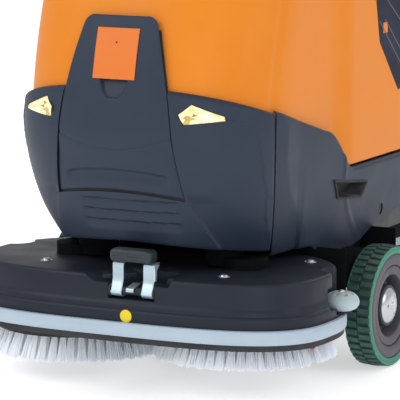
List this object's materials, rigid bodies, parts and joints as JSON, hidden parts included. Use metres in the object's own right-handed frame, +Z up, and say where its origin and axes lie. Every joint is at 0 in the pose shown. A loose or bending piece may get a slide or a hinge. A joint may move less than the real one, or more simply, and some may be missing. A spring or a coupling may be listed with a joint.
{
  "type": "scrubber dryer",
  "caption": "Walk-behind battery floor scrubber-dryer with twin disc brush deck in front, treaded drive wheels, tanks and a rear squeegee.",
  "frame": {"origin": "on the floor under the middle of the machine's length and width", "axes": "+Z up, -Y forwards towards the brush deck, +X the operator's left"},
  "size_m": [0.82, 1.3102, 1.0371],
  "materials": {
    "orange": "satin moulded tank",
    "cover_plastic": "fine grain",
    "deck_plastic": "fine grain",
    "lens": "clear faceted",
    "badge": "satin",
    "bumper_strip": "soft grey-blue",
    "roller": "pale grey-green",
    "rubber": "matte",
    "bristle": "nylon bristle",
    "brush_plate": "matte",
    "steel": "brushed",
    "black_steel": "powder coat",
    "tyre": "dark green tread",
    "hub": "satin",
    "battery": "matte",
    "screen": "glossy",
    "red_button": "satin",
    "green_button": "satin"
  },
  "bodies": {
    "chassis": {"chassis_frame": "black_steel", "front_cover": "cover_plastic", "side_cover_left": "cover_plastic", "side_cover_right": "cover_plastic", "headlight_left": "lens", "headlight_right": "lens", "solution_tank": "orange", "recovery_tank": "orange", "battery_pack": "battery", "drive_motor": "black_steel", "wheel_guard_left": "rubber", "wheel_guard_right": "rubber", "vacuum_motor": "black_steel", "water_pump": "black_steel", "lift_actuator": "steel", "console_housing": "cover_plastic", "display_screen": "screen", "handle_bar": "rubber", "suction_hose": "rubber"},
    "deck_arms": {"deck_arm_left": "steel", "deck_arm_right": "steel"},
    "deck": {"deck_housing": "deck_plastic", "deck_bumper": "bumper_strip", "splash_skirt": "rubber", "brush_motor_left": "black_steel", "brush_motor_right": "black_steel", "deck_screw_1": "black_steel", "deck_screw_2": "black_steel", "deck_screw_3": "black_steel", "deck_screw_4": "black_steel", "brush_hub_left": "black_steel", "pedal_pin": "rubber"},
    "brush_left": {"brush_plate_left": "brush_plate", "bristles_left": "bristle"},
    "brush_hub_right": {"brush_hub_right": "black_steel"},
    "brush_right": {"brush_plate_right": "brush_plate", "bristles_right": "bristle"},
    "pedal": {"pedal_straps": "steel", "pedal_pad": "rubber"},
    "roller_left": {"deflector_roller_left": "roller"},
    "roller_right": {"deflector_roller_right": "roller"},
    "drive_wheel_left": {"tyre_left": "tyre", "hub_left": "hub"},
    "drive_wheel_right": {"tyre_right": "tyre", "hub_right": "hub"},
    "caster_left": {"caster_fork_left": "black_steel"},
    "caster_right": {"caster_fork_right": "black_steel"},
    "caster_wheel_left": {"caster_wheel_left": "hub"},
    "caster_wheel_right": {"caster_wheel_right": "hub"},
    "squeegee_arm": {"squeegee_arm": "black_steel"},
    "squeegee": {"squeegee_body": "steel", "squeegee_blade": "rubber"},
    "tank_lid": {"tank_lid": "cover_plastic"},
    "front_panel": {"front_panel": "cover_plastic", "panel_badge": "badge"},
    "filler_cap": {"filler_cap": "rubber"},
    "key_switch": {"key_switch": "steel"},
    "stop_button": {"stop_button": "red_button"},
    "start_button": {"start_button": "green_button"},
    "drive_paddle": {"drive_paddle": "brush_plate"}
  },
  "joints": [
    {"name": "deck_lift", "type": "hinge", "parent": "chassis", "child": "deck_arms", "pos_m": [0, -0.13572, 0.23625], "axis": [1, 0, 0], "range_deg": [0, 19.43]},
    {"name": "deck_level", "type": "hinge", "parent": "deck_arms", "child": "deck", "pos_m": [0, -0.33285, 0.27], "axis": [1, 0, 0], "range_deg": [-19.43, 0]},
    {"name": "brush_float_right", "type": "slide", "parent": "deck", "child": "brush_hub_right", "axis": [0, 0, 1], "range_m": [0, 0.0212]},
    {"name": "brush_spin_left", "type": "hinge", "parent": "deck", "child": "brush_left", "pos_m": [0.189, -0.43285, 0.136], "axis": [0, 0, 1], "continuous": true},
    {"name": "brush_spin_right", "type": "hinge", "parent": "brush_hub_right", "child": "brush_right", "pos_m": [-0.189, -0.43285, 0.115], "axis": [0, 0, 1], "continuous": true},
    {"name": "pedal_press", "type": "hinge", "parent": "deck", "child": "pedal", "pos_m": [0.04, -0.62085, 0.213], "axis": [1, 0, 0], "range_deg": [0, 30], "stiffness_Nm_per_rad": 0.6},
    {"name": "roller_spin_left", "type": "hinge", "parent": "deck", "child": "roller_left", "pos_m": [0.373, -0.37485, 0.162], "axis": [0, 0, 1], "continuous": true},
    {"name": "roller_spin_right", "type": "hinge", "parent": "deck", "child": "roller_right", "pos_m": [-0.373, -0.37485, 0.162], "axis": [0, 0, 1], "continuous": true},
    {"name": "drive_wheel_spin_left", "type": "hinge", "parent": "chassis", "child": "drive_wheel_left", "pos_m": [0.347, -0.12185, 0.126], "axis": [1, 0, 0], "continuous": true},
    {"name": "drive_wheel_spin_right", "type": "hinge", "parent": "chassis", "child": "drive_wheel_right", "pos_m": [-0.347, -0.12185, 0.126], "axis": [1, 0, 0], "continuous": true},
    {"name": "caster_swivel_left", "type": "hinge", "parent": "chassis", "child": "caster_left", "pos_m": [0.2, 0.34715, 0.2047], "axis": [0, 0, 1], "continuous": true},
    {"name": "caster_spin_left", "type": "hinge", "parent": "caster_left", "child": "caster_wheel_left", "pos_m": [0.2, 0.38215, 0.05], "axis": [1, 0, 0], "continuous": true},
    {"name": "caster_swivel_right", "type": "hinge", "parent": "chassis", "child": "caster_right", "pos_m": [-0.2, 0.34715, 0.2047], "axis": [0, 0, 1], "continuous": true},
    {"name": "caster_spin_right", "type": "hinge", "parent": "caster_right", "child": "caster_wheel_right", "pos_m": [-0.2, 0.38215, 0.05], "axis": [1, 0, 0], "continuous": true},
    {"name": "squeegee_lift", "type": "hinge", "parent": "chassis", "child": "squeegee_arm", "pos_m": [0, 0.36715, 0.125], "axis": [-1, 0, 0], "range_deg": [0, 9]},
    {"name": "squeegee_swing", "type": "hinge", "parent": "squeegee_arm", "child": "squeegee", "pos_m": [0, 0.59926, 0.16176], "axis": [0, -0.1564, 0.9877], "range_deg": [-15, 15]},
    {"name": "lid_hinge", "type": "hinge", "parent": "chassis", "child": "tank_lid", "pos_m": [0, 0.20715, 0.9762], "axis": [-1, 0, 0], "range_deg": [0, 80]},
    {"name": "front_panel_hinge", "type": "hinge", "parent": "chassis", "child": "front_panel", "pos_m": [0, -0.61355, 0.397], "axis": [1, 0, 0], "range_deg": [0, 35]},
    {"name": "filler_cap_turn", "type": "hinge", "parent": "chassis", "child": "filler_cap", "pos_m": [0, -0.55428, 0.68], "axis": [0, -1, 0], "range_deg": [0, 120]},
    {"name": "key_turn", "type": "hinge", "parent": "chassis", "child": "key_switch", "pos_m": [-0.16, 0.36715, 1.01164], "axis": [0, 0.3337, 0.9427], "range_deg": [0, 90]},
    {"name": "stop_press", "type": "slide", "parent": "chassis", "child": "stop_button", "axis": [0, -0.3337, -0.9427], "range_m": [0, 0.006], "stiffness_N_per_m": 400},
    {"name": "start_press", "type": "slide", "parent": "chassis", "child": "start_button", "axis": [0, -0.3337, -0.9427], "range_m": [0, 0.003], "stiffness_N_per_m": 400},
    {"name": "drive_paddle_turn", "type": "hinge", "parent": "chassis", "child": "drive_paddle", "pos_m": [0, 0.63715, 0.975], "axis": [1, 0, 0], "range_deg": [-20, 20], "stiffness_Nm_per_rad": 0.6}
  ],
  "couplings": [
    {"joint": "deck_level", "follows": "deck_lift", "ratio": -1},
    {"joint": "brush_float_right", "follows": "deck_lift", "m_per_rad": 0.061924}
  ]
}
